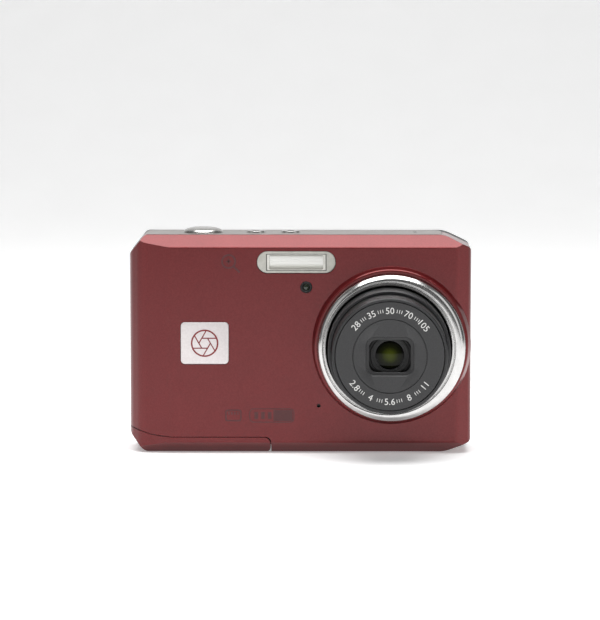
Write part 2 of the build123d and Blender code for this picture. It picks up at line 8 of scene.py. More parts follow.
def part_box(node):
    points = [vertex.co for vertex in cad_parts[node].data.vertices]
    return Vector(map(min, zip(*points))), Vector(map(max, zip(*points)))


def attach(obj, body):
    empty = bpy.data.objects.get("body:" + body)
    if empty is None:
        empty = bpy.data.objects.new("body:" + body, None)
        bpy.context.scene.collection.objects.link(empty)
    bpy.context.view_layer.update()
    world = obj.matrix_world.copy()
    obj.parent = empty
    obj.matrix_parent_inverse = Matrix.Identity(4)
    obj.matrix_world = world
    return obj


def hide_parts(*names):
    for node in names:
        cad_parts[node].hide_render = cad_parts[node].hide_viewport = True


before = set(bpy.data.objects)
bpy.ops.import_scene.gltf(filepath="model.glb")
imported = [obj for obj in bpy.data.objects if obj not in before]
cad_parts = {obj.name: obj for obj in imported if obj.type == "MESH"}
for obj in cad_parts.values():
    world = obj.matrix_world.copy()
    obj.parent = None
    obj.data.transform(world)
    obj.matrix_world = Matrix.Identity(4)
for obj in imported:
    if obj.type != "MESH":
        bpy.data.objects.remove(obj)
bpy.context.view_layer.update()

mm = 0.001
print("frame loaded:", len(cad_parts), "parts")


# small helpers, used by every material and piece

def hexColour(code):
    # sRGB hex to the linear values that shaders take
    channels = [int(code[i:i + 2], 16) / 255 for i in (1, 3, 5)]
    linear = [c / 12.92 if c <= 0.04045 else ((c + 0.055) / 1.055) ** 2.4 for c in channels]
    return (*linear, 1.0)


def addNode(tree, kind, settings=None, links=None):
    node = tree.nodes.new(kind)
    for key, value in (settings or {}).items():
        if isinstance(key, int) or key in node.inputs:
            node.inputs[key].default_value = value
        else:
            setattr(node, key, value)
    for key, source in (links or {}).items():
        tree.links.new(source, node.inputs[key])
    return node


def startMaterial(name, finish):
    # a cleared material with its output, its shader and Object coordinates
    material = bpy.data.materials.new(name)
    material.use_nodes = True
    tree = material.node_tree
    tree.nodes.clear()
    shader = addNode(tree, "ShaderNodeBsdfPrincipled", finish)
    addNode(tree, "ShaderNodeOutputMaterial", links={"Surface": shader.outputs[0]})
    place = addNode(tree, "ShaderNodeTexCoord").outputs["Object"]
    return material, tree, shader, place


def grain(tree, place, sizeMm, detail=3.0):
    # noise whose blobs are about this size on the real thing
    settings = {"Scale": 1 / (sizeMm * mm), "Detail": detail, "Roughness": 0.55}
    return addNode(tree, "ShaderNodeTexNoise", settings, {"Vector": place}).outputs["Fac"]


def fillRamp(tree, factor, stops, added=1.0, kind="LINEAR"):
    # a colour ramp with a stop for each position and hex colour
    ramp = addNode(tree, "ShaderNodeValToRGB", links={"Fac": factor})
    ramp.color_ramp.interpolation = kind
    while len(ramp.color_ramp.elements) < len(stops):
        ramp.color_ramp.elements.new(added)
    for element, (position, code) in zip(ramp.color_ramp.elements, stops):
        element.position = position
        element.color = hexColour(code)
    return ramp.outputs["Color"]


def blendColours(tree, factor, dark, light, low=0.35, high=0.65):
    return fillRamp(tree, factor, ((low, dark), (high, light)))


def unitRange(tree, value, start, end):
    settings = {"From Min": start, "From Max": end, "To Min": 0.0, "To Max": 1.0}
    return addNode(tree, "ShaderNodeMapRange", settings, {"Value": value}).outputs["Result"]


def upTheBox(tree, place, node):
    # 0 at the bottom of a part's box and 1 at its top
    low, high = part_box(node)
    axes = addNode(tree, "ShaderNodeSeparateXYZ", links={"Vector": place})
    return unitRange(tree, axes.outputs["Z"], low[2], high[2])


def spread(tree, factor, low, high):
    settings = {"From Min": 0.3, "From Max": 0.7, "To Min": low, "To Max": high}
    return addNode(tree, "ShaderNodeMapRange", settings, {"Value": factor}).outputs["Result"]


def roundedNormal(tree, shader, height, depthMm, edgeMm):
    # fine bump over edges that are softened as a mould or a brush leaves them
    soft = addNode(tree, "ShaderNodeBevel", {"samples": 4, "Radius": edgeMm * mm})
    bump = addNode(tree, "ShaderNodeBump", {"Strength": 1.0, "Distance": depthMm * mm},
                   {"Height": height, "Normal": soft.outputs[0]})
    tree.links.new(bump.outputs[0], shader.inputs["Normal"])


def surface(name, finish, dark, light, sizeMm, rough, depthMm, edgeMm=0.12, patchMm=9.0):
    # colour grain at one size, handling marks in the gloss at another, and a fine bump
    material, tree, shader, place = startMaterial(name, finish)
    fine = grain(tree, place, sizeMm)
    patches = grain(tree, place, patchMm)
    tree.links.new(blendColours(tree, fine, dark, light), shader.inputs["Base Color"])
    tree.links.new(spread(tree, patches, *rough), shader.inputs["Roughness"])
    roundedNormal(tree, shader, fine, depthMm, edgeMm)
    return material


paint = {"metallic": 0.65, "dark": "#64191b", "light": "#6f2022", "flakeMm": 0.35, "coat": 0.55}


def makeRedLacquer():
    # metallic lacquer, sprayed: flakes under a clear coat give a deep red, greyer where it mirrors the room
    finish = {"Metallic": paint["metallic"], "IOR": 1.5, "Specular IOR Level": 0.2,
              "Coat Weight": paint["coat"], "Coat Roughness": 0.09}
    return surface("redMetallicLacquer", finish, paint["dark"], paint["light"], paint["flakeMm"],
                   (0.30, 0.38), 0.004, 0.25)


materials = {
    "redLacquer": makeRedLacquer(),
    # moulded ABS with a spark-eroded tool finish: dull black with a fine sparkle
    "blackAbs": surface("sparkTexturedAbs", {"IOR": 1.53}, "#191919", "#232324", 0.45,
                        (0.46, 0.58), 0.018, 0.25),
    # silver paint on ABS: a grey satin skin
    "greyPaint": surface("satinSilverPaint", {"Metallic": 0.55, "IOR": 1.5}, "#8f8b88", "#9b9794", 0.4,
                         (0.34, 0.44), 0.004),
    # plated over a fine satin ground: bright, with soft edged reflections and faint wipe marks
    "chrome": surface("polishedChrome", {"Metallic": 1.0}, "#c9c8c7", "#d2d1d0", 1.5,
                      (0.15, 0.2), 0.0008, 0.1),
    # anodised aluminium, bead blasted: dark grey and even
    "barrelGrey": surface("blastedAnodisedAluminium", {"Metallic": 0.35, "IOR": 1.5}, "#2e2e2f", "#373738", 0.3,
                          (0.36, 0.46), 0.006, 0.1),
    "barrelFace": surface("satinBlackAnodising", {"Metallic": 0.15, "IOR": 1.5}, "#343435", "#3b3b3c", 0.3,
                          (0.42, 0.5), 0.004, 0.08),
    # moulded and unseen, so left plain and dull by the tool
    "innerPlastic": surface("mouldedPolycarbonateBlack", {"IOR": 1.58}, "#111112", "#191919", 0.8,
                            (0.4, 0.6), 0.01),
    "mattBlack": surface("mattBlackPolyester", {"IOR": 1.5}, "#0c0c0c", "#131313", 0.5, (0.5, 0.62), 0.004),
    "paleKey": surface("silverPlatedAbs", {"Metallic": 0.9}, "#b9b7b4", "#c6c4c1", 0.6,
                       (0.18, 0.26), 0.002, 0.1),
    "darkKey": surface("satinAbsKey", {"IOR": 1.53}, "#202021", "#29292a", 0.5, (0.36, 0.46), 0.006, 0.2),
    "badge": surface("satinAluminiumBadge", {"Metallic": 0.2}, "#dad3d3", "#e1dbdb", 0.5,
                     (0.3, 0.38), 0.002, 0.1),
    "steel": surface("rolledSpringSteel", {"Metallic": 1.0}, "#9a9894", "#aaa8a3", 0.7, (0.26, 0.4), 0.003),
    "brass": surface("tinnedBrass", {"Metallic": 1.0}, "#b4a273", "#c4b384", 0.7, (0.25, 0.38), 0.003),
    "screwBlack": surface("blackenedSteel", {"Metallic": 0.9}, "#2a2a2b", "#363637", 0.4, (0.3, 0.42), 0.003),
    "acetal": surface("mouldedAcetal", {"IOR": 1.48, "Subsurface Weight": 0.05}, "#d6d2c6", "#e0dccf", 1.0,
                      (0.35, 0.45), 0.004),
    "board": surface("solderMask", {"IOR": 1.5, "Coat Weight": 0.4}, "#0f4a2c", "#165a37", 1.4,
                     (0.3, 0.42), 0.01),
    "rubber": surface("mouldedRubberRed", {"IOR": 1.52}, "#55191c", "#5f1f22", 0.5, (0.55, 0.7), 0.012, 0.3),
    "card": surface("mouldedCardBlue", {"IOR": 1.5}, "#1a2744", "#22304f", 0.5, (0.4, 0.5), 0.008),
    "sleeve": surface("pvcShrinkSleeve", {"IOR": 1.53}, "#15161b", "#1d1e24", 0.8, (0.2, 0.3), 0.004),
    "lampLens": surface("smokedAcrylic", {"IOR": 1.49, "Coat Weight": 0.5}, "#171d12", "#222a19", 0.6,
                        (0.1, 0.16), 0.001),
    "inkWhite": surface("whitePadPrint", {"IOR": 1.5}, "#d4d4d2", "#dededc", 0.3, (0.4, 0.5), 0.002, 0.02),
    "inkDark": surface("darkPadPrint", {"IOR": 1.5}, "#4a1e20", "#522426", 0.3, (0.35, 0.45), 0.002, 0.02),
    "inkGrey": surface("greyPadPrint", {"IOR": 1.5}, "#9b9b9a", "#a8a8a7", 0.3, (0.4, 0.5), 0.002, 0.02),
    "reflector": surface("vapourCoatedMirror", {"Metallic": 1.0}, "#cfcfcd", "#dadad8", 1.0,
                         (0.12, 0.2), 0.004),
    "sensor": surface("sensorCoverGlass", {"IOR": 1.52, "Metallic": 0.4}, "#1b2733", "#33283a", 2.0,
                      (0.05, 0.1), 0.001),
}


def makeClear(name, tint, ior, rough, sizeMm):
    # a clear part: what it covers shows through, with a slight unevenness from moulding
    finish = {"Transmission Weight": 1.0, "IOR": ior, "Base Color": hexColour(tint)}
    material, tree, shader, place = startMaterial(name, finish)
    waves = grain(tree, place, sizeMm, 1.0)
    tree.links.new(spread(tree, waves, rough, rough * 2), shader.inputs["Roughness"])
    bump = addNode(tree, "ShaderNodeBump", {"Strength": 0.3, "Distance": 0.002 * mm}, {"Height": waves})
    tree.links.new(bump.outputs[0], shader.inputs["Normal"])
    return material


materials["flashWindow"] = makeClear("mouldedClearAcrylic", "#f4f6f2", 1.49, 0.03, 2.0)
materials["tubeGlass"] = makeClear("xenonTubeGlass", "#f2f6f8", 1.47, 0.02, 2.0)
materials["lensGlass"] = makeClear("coatedOpticalGlass", "#dfe8d0", 1.6, 0.004, 4.0)


screenLook = {"marginMm": 2.6, "panel": "#1d2127", "mask": "#060607"}


def makeScreen():
    # acrylic over a printed black mask, with the switched-off panel a little lighter inside it
    finish = {"IOR": 1.49, "Coat Weight": 0.6, "Coat Roughness": 0.02}
    material, tree, shader, place = startMaterial("acrylicOverPanel", finish)
    low, high = (Vector(c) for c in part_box("screen_window"))
    middle = (low + high) / 2
    axes = addNode(tree, "ShaderNodeSeparateXYZ", links={"Vector": place})
    inside = None
    for axis, index in (("X", 0), ("Z", 2)):
        half = (high - low)[index] / 2 - screenLook["marginMm"] * mm
        off = addNode(tree, "ShaderNodeMath", {"operation": "SUBTRACT", 1: middle[index]},
                      {0: axes.outputs[axis]})
        far = addNode(tree, "ShaderNodeMath", {"operation": "ABSOLUTE"}, {0: off.outputs[0]})
        near = addNode(tree, "ShaderNodeMath", {"operation": "LESS_THAN", 1: half}, {0: far.outputs[0]})
        if inside is None:
            inside = near.outputs[0]
        else:
            both = addNode(tree, "ShaderNodeMath", {"operation": "MULTIPLY"}, {0: inside, 1: near.outputs[0]})
            inside = both.outputs[0]
    colour = blendColours(tree, inside, screenLook["mask"], screenLook["panel"], 0.1, 0.9)
    tree.links.new(colour, shader.inputs["Base Color"])
    smears = grain(tree, place, 14.0)
    tree.links.new(spread(tree, smears, 0.04, 0.12), shader.inputs["Roughness"])
    return material


materials["screen"] = makeScreen()


def makeCell():
    # foil wrap in two bands round the cell, bare can at the ends
    finish = {"Metallic": 0.6, "IOR": 1.5, "Coat Weight": 0.5}
    material, tree, shader, place = startMaterial("foilWrappedCell", finish)
    bands = ((0.0, "#a5a3a0"), (0.035, "#1c1d20"), (0.70, "#9a643a"), (0.95, "#a5a3a0"))
    wrap = fillRamp(tree, upTheBox(tree, place, "battery_1"), bands, kind="CONSTANT")
    tree.links.new(wrap, shader.inputs["Base Color"])
    tree.links.new(spread(tree, grain(tree, place, 6.0), 0.2, 0.32), shader.inputs["Roughness"])
    return material


materials["cell"] = makeCell()


# colours of the painted coating reflection and the painted shade at the rim, and the sphere of the dome
glassLook = {"paintedGlowHeart": "#454d12", "paintedGlowFade": "#1a1d0a", "rim": "#070707", "radiusMm": 4.1, "sphere": 11.0}


def makeCoatedGlass():
    # multicoated optical glass over a dark barrel: a painted olive reflection of the coating in the middle,
    # fading to painted shade, black towards the rim
    finish = {"IOR": 1.5, "Roughness": 0.06, "Specular IOR Level": 0.12}
    material, tree, shader, place = startMaterial("glassPaintedCoatingGlow", finish)
    low, high = (Vector(corner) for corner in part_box("front_element"))
    centred = addNode(tree, "ShaderNodeMapping", {"Location": tuple(-(low + high) / 2)}, {"Vector": place})
    far = addNode(tree, "ShaderNodeVectorMath", {"operation": "LENGTH"}, {0: centred.outputs[0]})
    scaled = unitRange(tree, far.outputs["Value"], 0.0, glassLook["radiusMm"] * mm)
    stops = ((0.25, glassLook["paintedGlowHeart"]), (0.62, glassLook["paintedGlowFade"]), (0.92, glassLook["rim"]))
    tree.links.new(fillRamp(tree, scaled, stops, 0.5), shader.inputs["Base Color"])
    return material


# ramp colours: a painted reflection of the reflector in the middle, painted shade at the top and bottom
prismPaintedLight = {"top": "#8d8b84", "light": "#ecece8", "band": "#c4c3bc", "dark": "#8b8a83"}


def makePrisms():
    # clear acrylic prisms coloured up the window: a painted reflection of the bright reflector in the middle,
    # painted shade where its upper and lower walls show through
    finish = {"IOR": 1.49, "Coat Weight": 0.4, "Coat Roughness": 0.08}
    material, tree, shader, place = startMaterial("prismaticAcrylicPaintedReflection", finish)
    stops = ((0.15, prismPaintedLight["dark"]), (0.30, prismPaintedLight["band"]), (0.42, prismPaintedLight["light"]),
             (0.76, prismPaintedLight["light"]), (0.83, prismPaintedLight["top"]))
    ribs = fillRamp(tree, upTheBox(tree, place, "flash_window"), stops, 0.9)
    tree.links.new(ribs, shader.inputs["Base Color"])
    tree.links.new(spread(tree, grain(tree, place, 3.0), 0.16, 0.26), shader.inputs["Roughness"])
    return material


materials["coatedGlass"] = makeCoatedGlass()
materials["flashPrisms"] = makePrisms()
# clear acrylic with a frosted back: pale grey that the casing tints
materials["flashCap"] = surface("frostedAcrylic", {"IOR": 1.49, "Coat Weight": 0.7, "Coat Roughness": 0.05},
                                "#aeada5", "#bab9b1", 1.6, (0.3, 0.4), 0.002, 0.15)
# pale grey-white: a painted highlight on the clear edge of the frame
materials["flashFrame"] = surface("acrylicEdgePaintedHighlight", {"IOR": 1.49, "Coat Weight": 0.7, "Coat Roughness": 0.04},
                                  "#c9c8c1", "#d6d5ce", 1.6, (0.2, 0.3), 0.001, 0.05)
# a dark grey of painted shade, for the recessed ledge of the lens window and the seams of the flash window
materials["ledge"] = surface("paintedShadeGrey", {"Metallic": 0.15, "IOR": 1.5}, "#232324", "#2a2a2b", 0.3,
                             (0.42, 0.5), 0.004, 0.08)
materials["inkRed"] = surface("redPadPrint", {"IOR": 1.5}, "#7c2426", "#86292b", 0.3,
                              (0.35, 0.45), 0.002, 0.02)
materials["inkCharcoal"] = surface("charcoalPadPrint", {"IOR": 1.5}, "#3a3a3b", "#444445", 0.3,
                                   (0.4, 0.5), 0.002, 0.02)
print("materials:", len(materials))

# what each part of the frame is finished in
finishes = {
    "redLacquer": ["front_shell", "battery_door"],
    "blackAbs": ["rear_shell"],
    "greyPaint": ["top_plate"],
    "chrome": ["lens_trim_ring"],
    "barrelGrey": ["outer_barrel", "inner_barrel"],
    "barrelFace": ["barrel_front_plate"],
    "mattBlack": ["barrier_blade_upper", "barrier_blade_lower", "front_lens_cell", "shutter_unit"],
    "innerPlastic": ["lens_housing", "cam_ring", "battery_box", "focus_lens", "door_hinge_carrier", "speaker",
                     "microphone"],
    "steel": ["zoom_motor", "door_hinge_pin", "sensor_plate", "chassis", "tripod_socket", "strap_lug", "usb_port",
              "card_slot", "dome_switches"],
    "brass": ["battery_contacts", "door_contact_strip"],
    "acetal": ["idler_gear", "motor_pinion"],
    "board": ["main_board", "rear_button_board", "top_button_board"],
    "screwBlack": ["screws"],
    "rubber": ["usb_cover"],
    "card": ["memory_card"],
    "cell": ["battery_1", "battery_2"],
    "sleeve": ["flash_capacitor"],
    "reflector": ["flash_reflector"],
    "flashWindow": ["flash_window"],
    "tubeGlass": ["flash_tube"],
    "lensGlass": ["front_element"],
    "sensor": ["image_sensor"],
    "lampLens": ["self_timer_lamp"],
    "badge": ["badge"],
    "paleKey": ["shutter_button", "power_button", "mode_button"],
    "darkKey": ["play_button", "scene_button", "menu_button", "delete_button", "four_way_pad", "set_button",
                "zoom_rocker"],
    "screen": ["screen_window", "screen_module"],
}
for finish, nodes in finishes.items():
    for node in nodes:
        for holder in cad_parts[node].material_slots:
            holder.material = materials[finish]
print("finishes given to the frame's parts")


# helpers that shape and finish a piece

root = "root"


def boxOf(node):
    low, high = (Vector(corner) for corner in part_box(node))
    return low, high, (low + high) / 2


def finishPiece(bm, name, body, finish, replaces=(), smoothDegrees=35, merge=True):
    # merges doubles, points the faces outwards, and hands the mesh to the frame
    if merge:
        bmesh.ops.remove_doubles(bm, verts=bm.verts[:], dist=0.002 * mm)
    bmesh.ops.recalc_face_normals(bm, faces=bm.faces[:])
    mesh = bpy.data.meshes.new(name)
    bm.to_mesh(mesh)
    bm.free()
    for polygon in mesh.polygons:
        polygon.use_smooth = True
    mesh.set_sharp_from_angle(angle=math.radians(smoothDegrees))
    piece = bpy.data.objects.new(name, mesh)
    bpy.context.scene.collection.objects.link(piece)
    mesh.materials.append(materials[finish])
    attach(piece, body)
    if replaces:
        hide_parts(*replaces)
    return piece


def turned(profile, centre, axis, segments=96):
    # a closed profile of (radius, distance along the axis), spun once round it
    bm = bmesh.new()
    out = Vector((1, 0, 0))
    verts = [bm.verts.new(centre + out * r * mm + axis * d * mm) for r, d in profile]
    edges = [bm.edges.new((a, b)) for a, b in zip(verts, verts[1:])]
    bmesh.ops.spin(bm, geom=verts + edges, cent=centre, axis=axis, angle=2 * math.pi, steps=segments,
                   use_merge=True)
    return bm


def roundLoop(bm, radius, y, centre, count=64):
    # a ring of edges in X and Z at one depth
    made = bmesh.ops.create_circle(bm, segments=count, radius=radius * mm)["verts"]
    return placeLoop(bm, made, y, centre)


def squareLoop(bm, width, height, corner, y, centre, count=64):
    # a rounded rectangle of the same number of edges
    made = bmesh.ops.create_grid(bm, x_segments=1, y_segments=1, size=0.5)["verts"]
    bmesh.ops.scale(bm, vec=(width * mm, height * mm, 1), verts=made)
    cut = bmesh.ops.bevel(bm, geom=made, offset=corner * mm, offset_type="OFFSET", affect="VERTICES",
                          segments=count // 4 - 1, profile=0.5, material=-1)
    bmesh.ops.delete(bm, geom=[f for f in bm.faces if set(f.verts) & set(cut["verts"])], context="FACES_ONLY")
    return placeLoop(bm, cut["verts"], y, centre)


def placeLoop(bm, verts, y, centre):
    turn = Matrix.Rotation(math.radians(90), 4, "X")
    place = Matrix.Translation((centre.x, y * mm, centre.z))
    bmesh.ops.transform(bm, matrix=place @ turn, verts=verts)
    chosen = set(verts)
    return [e for e in bm.edges if e.verts[0] in chosen and e.verts[1] in chosen]


def bridgeAll(bm, loops):
    for first, second in zip(loops, loops[1:]):
        bmesh.ops.bridge_loops(bm, edges=first + second)


def bridgeAndCap(bm, loops):
    bridgeAll(bm, loops)
    for loop in (loops[0], loops[-1]):
        bmesh.ops.contextual_create(bm, geom=loop)


def bar(bm, size, middle, tilt=0.0, axis="Y"):
    # a thin block, for a printed or moulded line
    made = bmesh.ops.create_cube(bm, size=1.0)["verts"]
    bmesh.ops.scale(bm, vec=Vector(size) * mm, verts=made)
    turn = Matrix.Rotation(math.radians(tilt), 4, axis)
    bmesh.ops.transform(bm, matrix=Matrix.Translation(Vector(middle)) @ turn, verts=made)
    return made


def band(bm, radius, width, thick, centre, normal, segments=48, start=0.0, sweep=360.0):
    # a flat printed ring or an arc of one
    normal = normal.normalized()
    side = normal.orthogonal().normalized()
    side = Matrix.Rotation(math.radians(start), 3, normal) @ side
    inner, outer = (radius - width / 2) * mm, (radius + width / 2) * mm
    up = normal * thick * mm
    near, far = centre + side * inner, centre + side * outer
    corners = [near, far, far + up, near + up]
    verts = [bm.verts.new(c) for c in corners]
    edges = [bm.edges.new((verts[i], verts[(i + 1) % 4])) for i in range(4)]
    closed = abs(sweep - 360.0) < 0.01
    geom = verts + edges
    if not closed:
        geom = geom + [bm.faces.new(verts)]
    steps = max(3, round(segments * sweep / 360))
    bmesh.ops.spin(bm, geom=geom, cent=centre, axis=normal, angle=math.radians(sweep), steps=steps,
                   use_merge=closed)


def numeral(bm, text, heightMm, thickMm, matrix):
    # plain digits, made a mesh before they are placed
    curve = bpy.data.curves.new("digits", "FONT")
    curve.body = text
    curve.size = heightMm * mm * 1.42
    curve.align_x = "CENTER"
    curve.align_y = "CENTER"
    curve.extrude = thickMm * mm / 2
    curve.resolution_u = 3
    holder = bpy.data.objects.new("digits", curve)
    bpy.context.scene.collection.objects.link(holder)
    bpy.context.view_layer.update()
    mesh = bpy.data.meshes.new_from_object(holder.evaluated_get(bpy.context.evaluated_depsgraph_get()))
    across = [v.co.x for v in mesh.vertices]
    along = [v.co.y for v in mesh.vertices]
    centre = Vector(((min(across) + max(across)) / 2, (min(along) + max(along)) / 2, 0))
    mesh.transform(matrix @ Matrix.Translation(-centre))
    bm.from_mesh(mesh)
    bpy.data.objects.remove(holder)
    bpy.data.curves.remove(curve)
    bpy.data.meshes.remove(mesh)


front = Vector((0, -1, 0))
rear = Vector((0, 1, 0))
upward = Vector((0, 0, 1))


# lens: front plate, its numerals, the glass and the cell behind the window

plate = {"edge": 14.5, "window": (12.7, 10.2, 2.4), "step": (11.0, 8.6, 2.0),
         "groove": 9.8, "grooveWide": 0.26}


def makeFrontPlate():
    # one skin of loops, from the rim across the face, round the groove and down the stepped window
    low, high, middle = boxOf("barrel_front_plate")
    face = low.y / mm
    back = high.y / mm
    rim = (high.x - low.x) / 2 / mm
    bm = bmesh.new()
    width, height, corner = plate["window"]
    stepWidth, stepHeight, stepCorner = plate["step"]
    g, gw = plate["groove"], plate["grooveWide"] / 2
    loops = [roundLoop(bm, rim, back, middle), roundLoop(bm, rim, face + 0.3, middle),
             roundLoop(bm, rim - 0.1, face + 0.08, middle), roundLoop(bm, plate["edge"] - 0.15, face, middle),
             roundLoop(bm, g + gw, face + 0.02, middle), roundLoop(bm, g + gw, face + 0.28, middle),
             roundLoop(bm, g - gw, face + 0.32, middle), roundLoop(bm, g - gw, face + 0.02, middle)]
    loops += [squareLoop(bm, width + 0.5, height + 0.5, corner, face + 0.05, middle),
              squareLoop(bm, width, height, corner, face + 0.24, middle),
              squareLoop(bm, width - 0.04, height - 0.04, corner, back - 0.05, middle)]
    loops.append(loops[0])
    bridgeAll(bm, loops)
    finishPiece(bm, "barrelFacePlate", "inner_barrel", "barrelFace", ["barrel_front_plate"], 30)
    # the ledge inside the window, coloured darker than the face as painted shade in the recess
    bm = bmesh.new()
    ledge = ((width - 0.06, height - 0.06, corner, 0.33), (stepWidth + 0.5, stepHeight + 0.5, stepCorner, 0.37),
             (stepWidth, stepHeight, stepCorner, 0.52), (stepWidth - 0.1, stepHeight - 0.1, stepCorner, 0.72),
             (width - 0.06, height - 0.06, corner, 0.68))
    loops = [squareLoop(bm, wide, tall, turn, face + y, middle) for wide, tall, turn, y in ledge]
    loops.append(loops[0])
    bridgeAll(bm, loops)
    finishPiece(bm, "windowLedge", "inner_barrel", "ledge", smoothDegrees=30)


scale = {"radius": 12.05, "high": 1.7, "topNumbers": ("28", "35", "50", "70", "105"), "topStep": 24.0,
         "lowNumbers": ("2.8", "4", "5.6", "8", "11"), "lowStep": 25.0, "tickStep": 3.0,
         "clear": 6.5}


def makeScale():
    # focal lengths over the window and stops under it, with fine ticks between, pad printed in white
    low, _, middle = boxOf("barrel_front_plate")
    bm = bmesh.new()
    y = low.y - 0.012 * mm
    upright = Matrix.Rotation(math.radians(90), 4, "X")

    def along(angle, radius):
        away = math.radians(angle)
        place = Vector((middle.x + radius * mm * math.sin(away), y, middle.z + radius * mm * math.cos(away)))
        return place, Matrix.Rotation(away, 4, "Y")
    for group, step, over in ((scale["topNumbers"], scale["topStep"], True),
                              (scale["lowNumbers"], scale["lowStep"], False)):
        half = (len(group) - 1) / 2
        for i, text in enumerate(group):
            angle = (i - half) * step if over else 180 - (i - half) * step
            place, turn = along(angle, scale["radius"])
            if not over:
                turn = turn @ Matrix.Rotation(math.pi, 4, "Y")
            numeral(bm, text, scale["high"], 0.03, Matrix.Translation(place) @ turn @ upright)
            if i == len(group) - 1:
                continue
            between = int(step / scale["tickStep"])
            for k in range(1, between):
                near = min(k, between - k)
                if near * scale["tickStep"] < scale["clear"]:
                    continue
                tickAngle = angle + k * scale["tickStep"] * (1 if over else -1)
                tickPlace, _ = along(tickAngle, scale["radius"])
                bar(bm, (0.16, 0.03, 0.9), tickPlace, tickAngle)
    return finishPiece(bm, "focalLengthScale", "inner_barrel", "inkWhite", merge=False)


def makeLensGlass():
    # the coated front element, domed, and the stepped baffle round it
    low, high, middle = boxOf("front_element")
    radius = (high.x - low.x) / 2 / mm
    depth = (high.y - low.y) / mm
    start = Vector((middle.x, low.y, middle.z))
    dome = [(0, 0)]
    sphere = glassLook["sphere"]
    for i in range(1, 9):
        r = radius * i / 8
        dome.append((r, sphere - math.sqrt(sphere * sphere - r * r)))
    bm = turned(dome + [(radius, depth), (0, depth)], start, rear)
    finishPiece(bm, "frontElementGlass", "inner_barrel", "coatedGlass", ["front_element"])
    cellLow, cellHigh, _ = boxOf("front_lens_cell")
    outer = (cellHigh.x - cellLow.x) / 2 / mm
    profile = [(3.42, 3.0), (3.42, 0.75), (4.15, 0.62), (4.15, 0.35), (4.55, 0.3), (4.62, 0.05), (5.1, 0.05),
               (5.2, 0.35), (5.75, 0.35), (5.85, 0.62), (6.4, 0.62), (6.5, 0.85), (outer, 0.85), (outer, 3.8),
               (3.42, 3.8), (3.42, 3.0)]
    bm = turned(profile, start, rear)
    finishPiece(bm, "lensBaffle", "inner_barrel", "mattBlack", ["front_lens_cell"], 25)


ring = {"edge": 1.5, "bandWide": 1.35, "sweep": 62.0, "grooveAt": 1.15, "grooveWide": 0.22, "lip": 0.55,
        "bore": 16.75}


def makeTrimRing():
    # the outer band is centred on the ring and its bore on the lens, so it is wider on one side
    low, high, middle = boxOf("lens_trim_ring")
    lens = boxOf("outer_barrel")[2]
    radius = (high.x - low.x) / 2 / mm
    bore = ring["bore"]
    face = low.y / mm
    back = high.y / mm
    bm = bmesh.new()
    count = 128
    sweep = math.radians(ring["sweep"])
    loops = [roundLoop(bm, radius, back, middle, count)]
    for i in range(9):
        lean = math.radians(90 - i / 8 * ring["sweep"])
        inward = ring["bandWide"] * (1 - math.sin(lean)) / (1 - math.cos(sweep))
        deep = ring["edge"] * (1 - math.cos(lean) / math.sin(sweep))
        loops.append(roundLoop(bm, radius - inward, face + deep, middle, count))
    wide = ring["grooveAt"]
    for r, y in ((bore + wide + 0.06, face + 0.04), (bore + wide, face + 0.12), (bore + wide, face + 0.8),
                 (bore + wide - ring["grooveWide"], face + 0.8), (bore + wide - ring["grooveWide"], face + 0.5),
                 (bore + wide - ring["grooveWide"] - 0.1, face + ring["lip"] - 0.15),
                 (bore + 0.3, face + ring["lip"] - 0.12), (bore, face + ring["lip"] + 0.25), (bore, back)):
        loops.append(roundLoop(bm, r, y, lens, count))
    loops.append(loops[0])
    bridgeAll(bm, loops)
    return finishPiece(bm, "polishedLensRing", root, "chrome", ["lens_trim_ring"], 40)


# flash: ribbed window, its frame and the clear end caps

flash = {"inner": (14.65, 4.05, 0.35), "ribs": 9, "ribDeep": 0.1, "cap": 0.25, "endGrow": 4.4}


